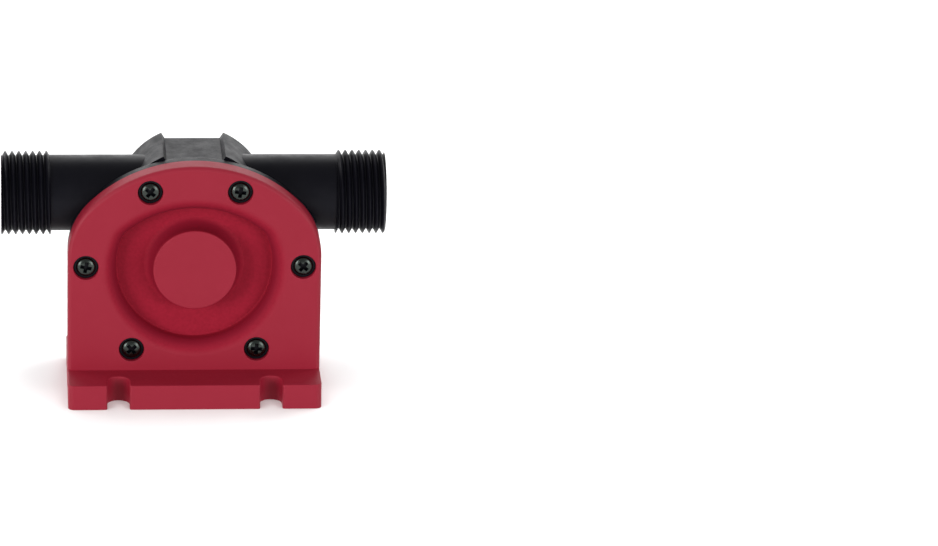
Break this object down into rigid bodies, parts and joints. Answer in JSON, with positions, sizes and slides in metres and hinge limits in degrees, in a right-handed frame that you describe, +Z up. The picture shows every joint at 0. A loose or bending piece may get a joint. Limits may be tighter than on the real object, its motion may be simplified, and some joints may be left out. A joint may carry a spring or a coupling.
{
  "type": "drill powered pump",
  "caption": "Drill powered transfer pump: arched plastic cover on a slotted foot, round casing, two opposed threaded hose connections and a drive shaft at the back.",
  "frame": {"origin": "on the surface that the pump stands on, below the middle of the cover's front face", "axes": "+X along the two hose connections, +Y to the rear along the drive shaft, +Z up"},
  "size_m": [0.124, 0.0926, 0.078],
  "materials": {
    "cover_red": "moulded, fine matt texture",
    "casing_black": "moulded, satin",
    "impeller_rubber": "moulded rubber",
    "seal_rubber": "moulded rubber",
    "hub_brass": "turned",
    "bush_bronze": "sintered",
    "shaft_steel": "ground",
    "spring_steel": "spring steel",
    "screw_black": "black oxide"
  },
  "bodies": {
    "housing": {"front_cover": "cover_red", "pump_casing": "casing_black", "inlet_pipe": "casing_black", "outlet_pipe": "casing_black", "cover_seal": "seal_rubber", "front_bush": "bush_bronze", "rear_bush": "bush_bronze", "shaft_seal": "seal_rubber", "seal_spring": "spring_steel", "bearing_cap": "casing_black", "cover_screw_1": "screw_black", "cover_screw_2": "screw_black", "cover_screw_3": "screw_black", "cover_screw_4": "screw_black", "cover_screw_5": "screw_black", "cover_screw_6": "screw_black"},
    "rotor": {"drive_shaft": "shaft_steel", "drive_pin": "shaft_steel", "impeller_hub": "hub_brass", "rubber_impeller": "impeller_rubber", "thrust_washer_front": "shaft_steel", "thrust_washer_rear": "shaft_steel", "retaining_ring": "spring_steel"}
  },
  "joints": [
    {"name": "impeller_spin", "type": "hinge", "parent": "housing", "child": "rotor", "pos_m": [0, 0, 0.0429], "axis": [0, 1, 0], "continuous": true, "deforming": ["rubber_impeller"]}
  ]
}
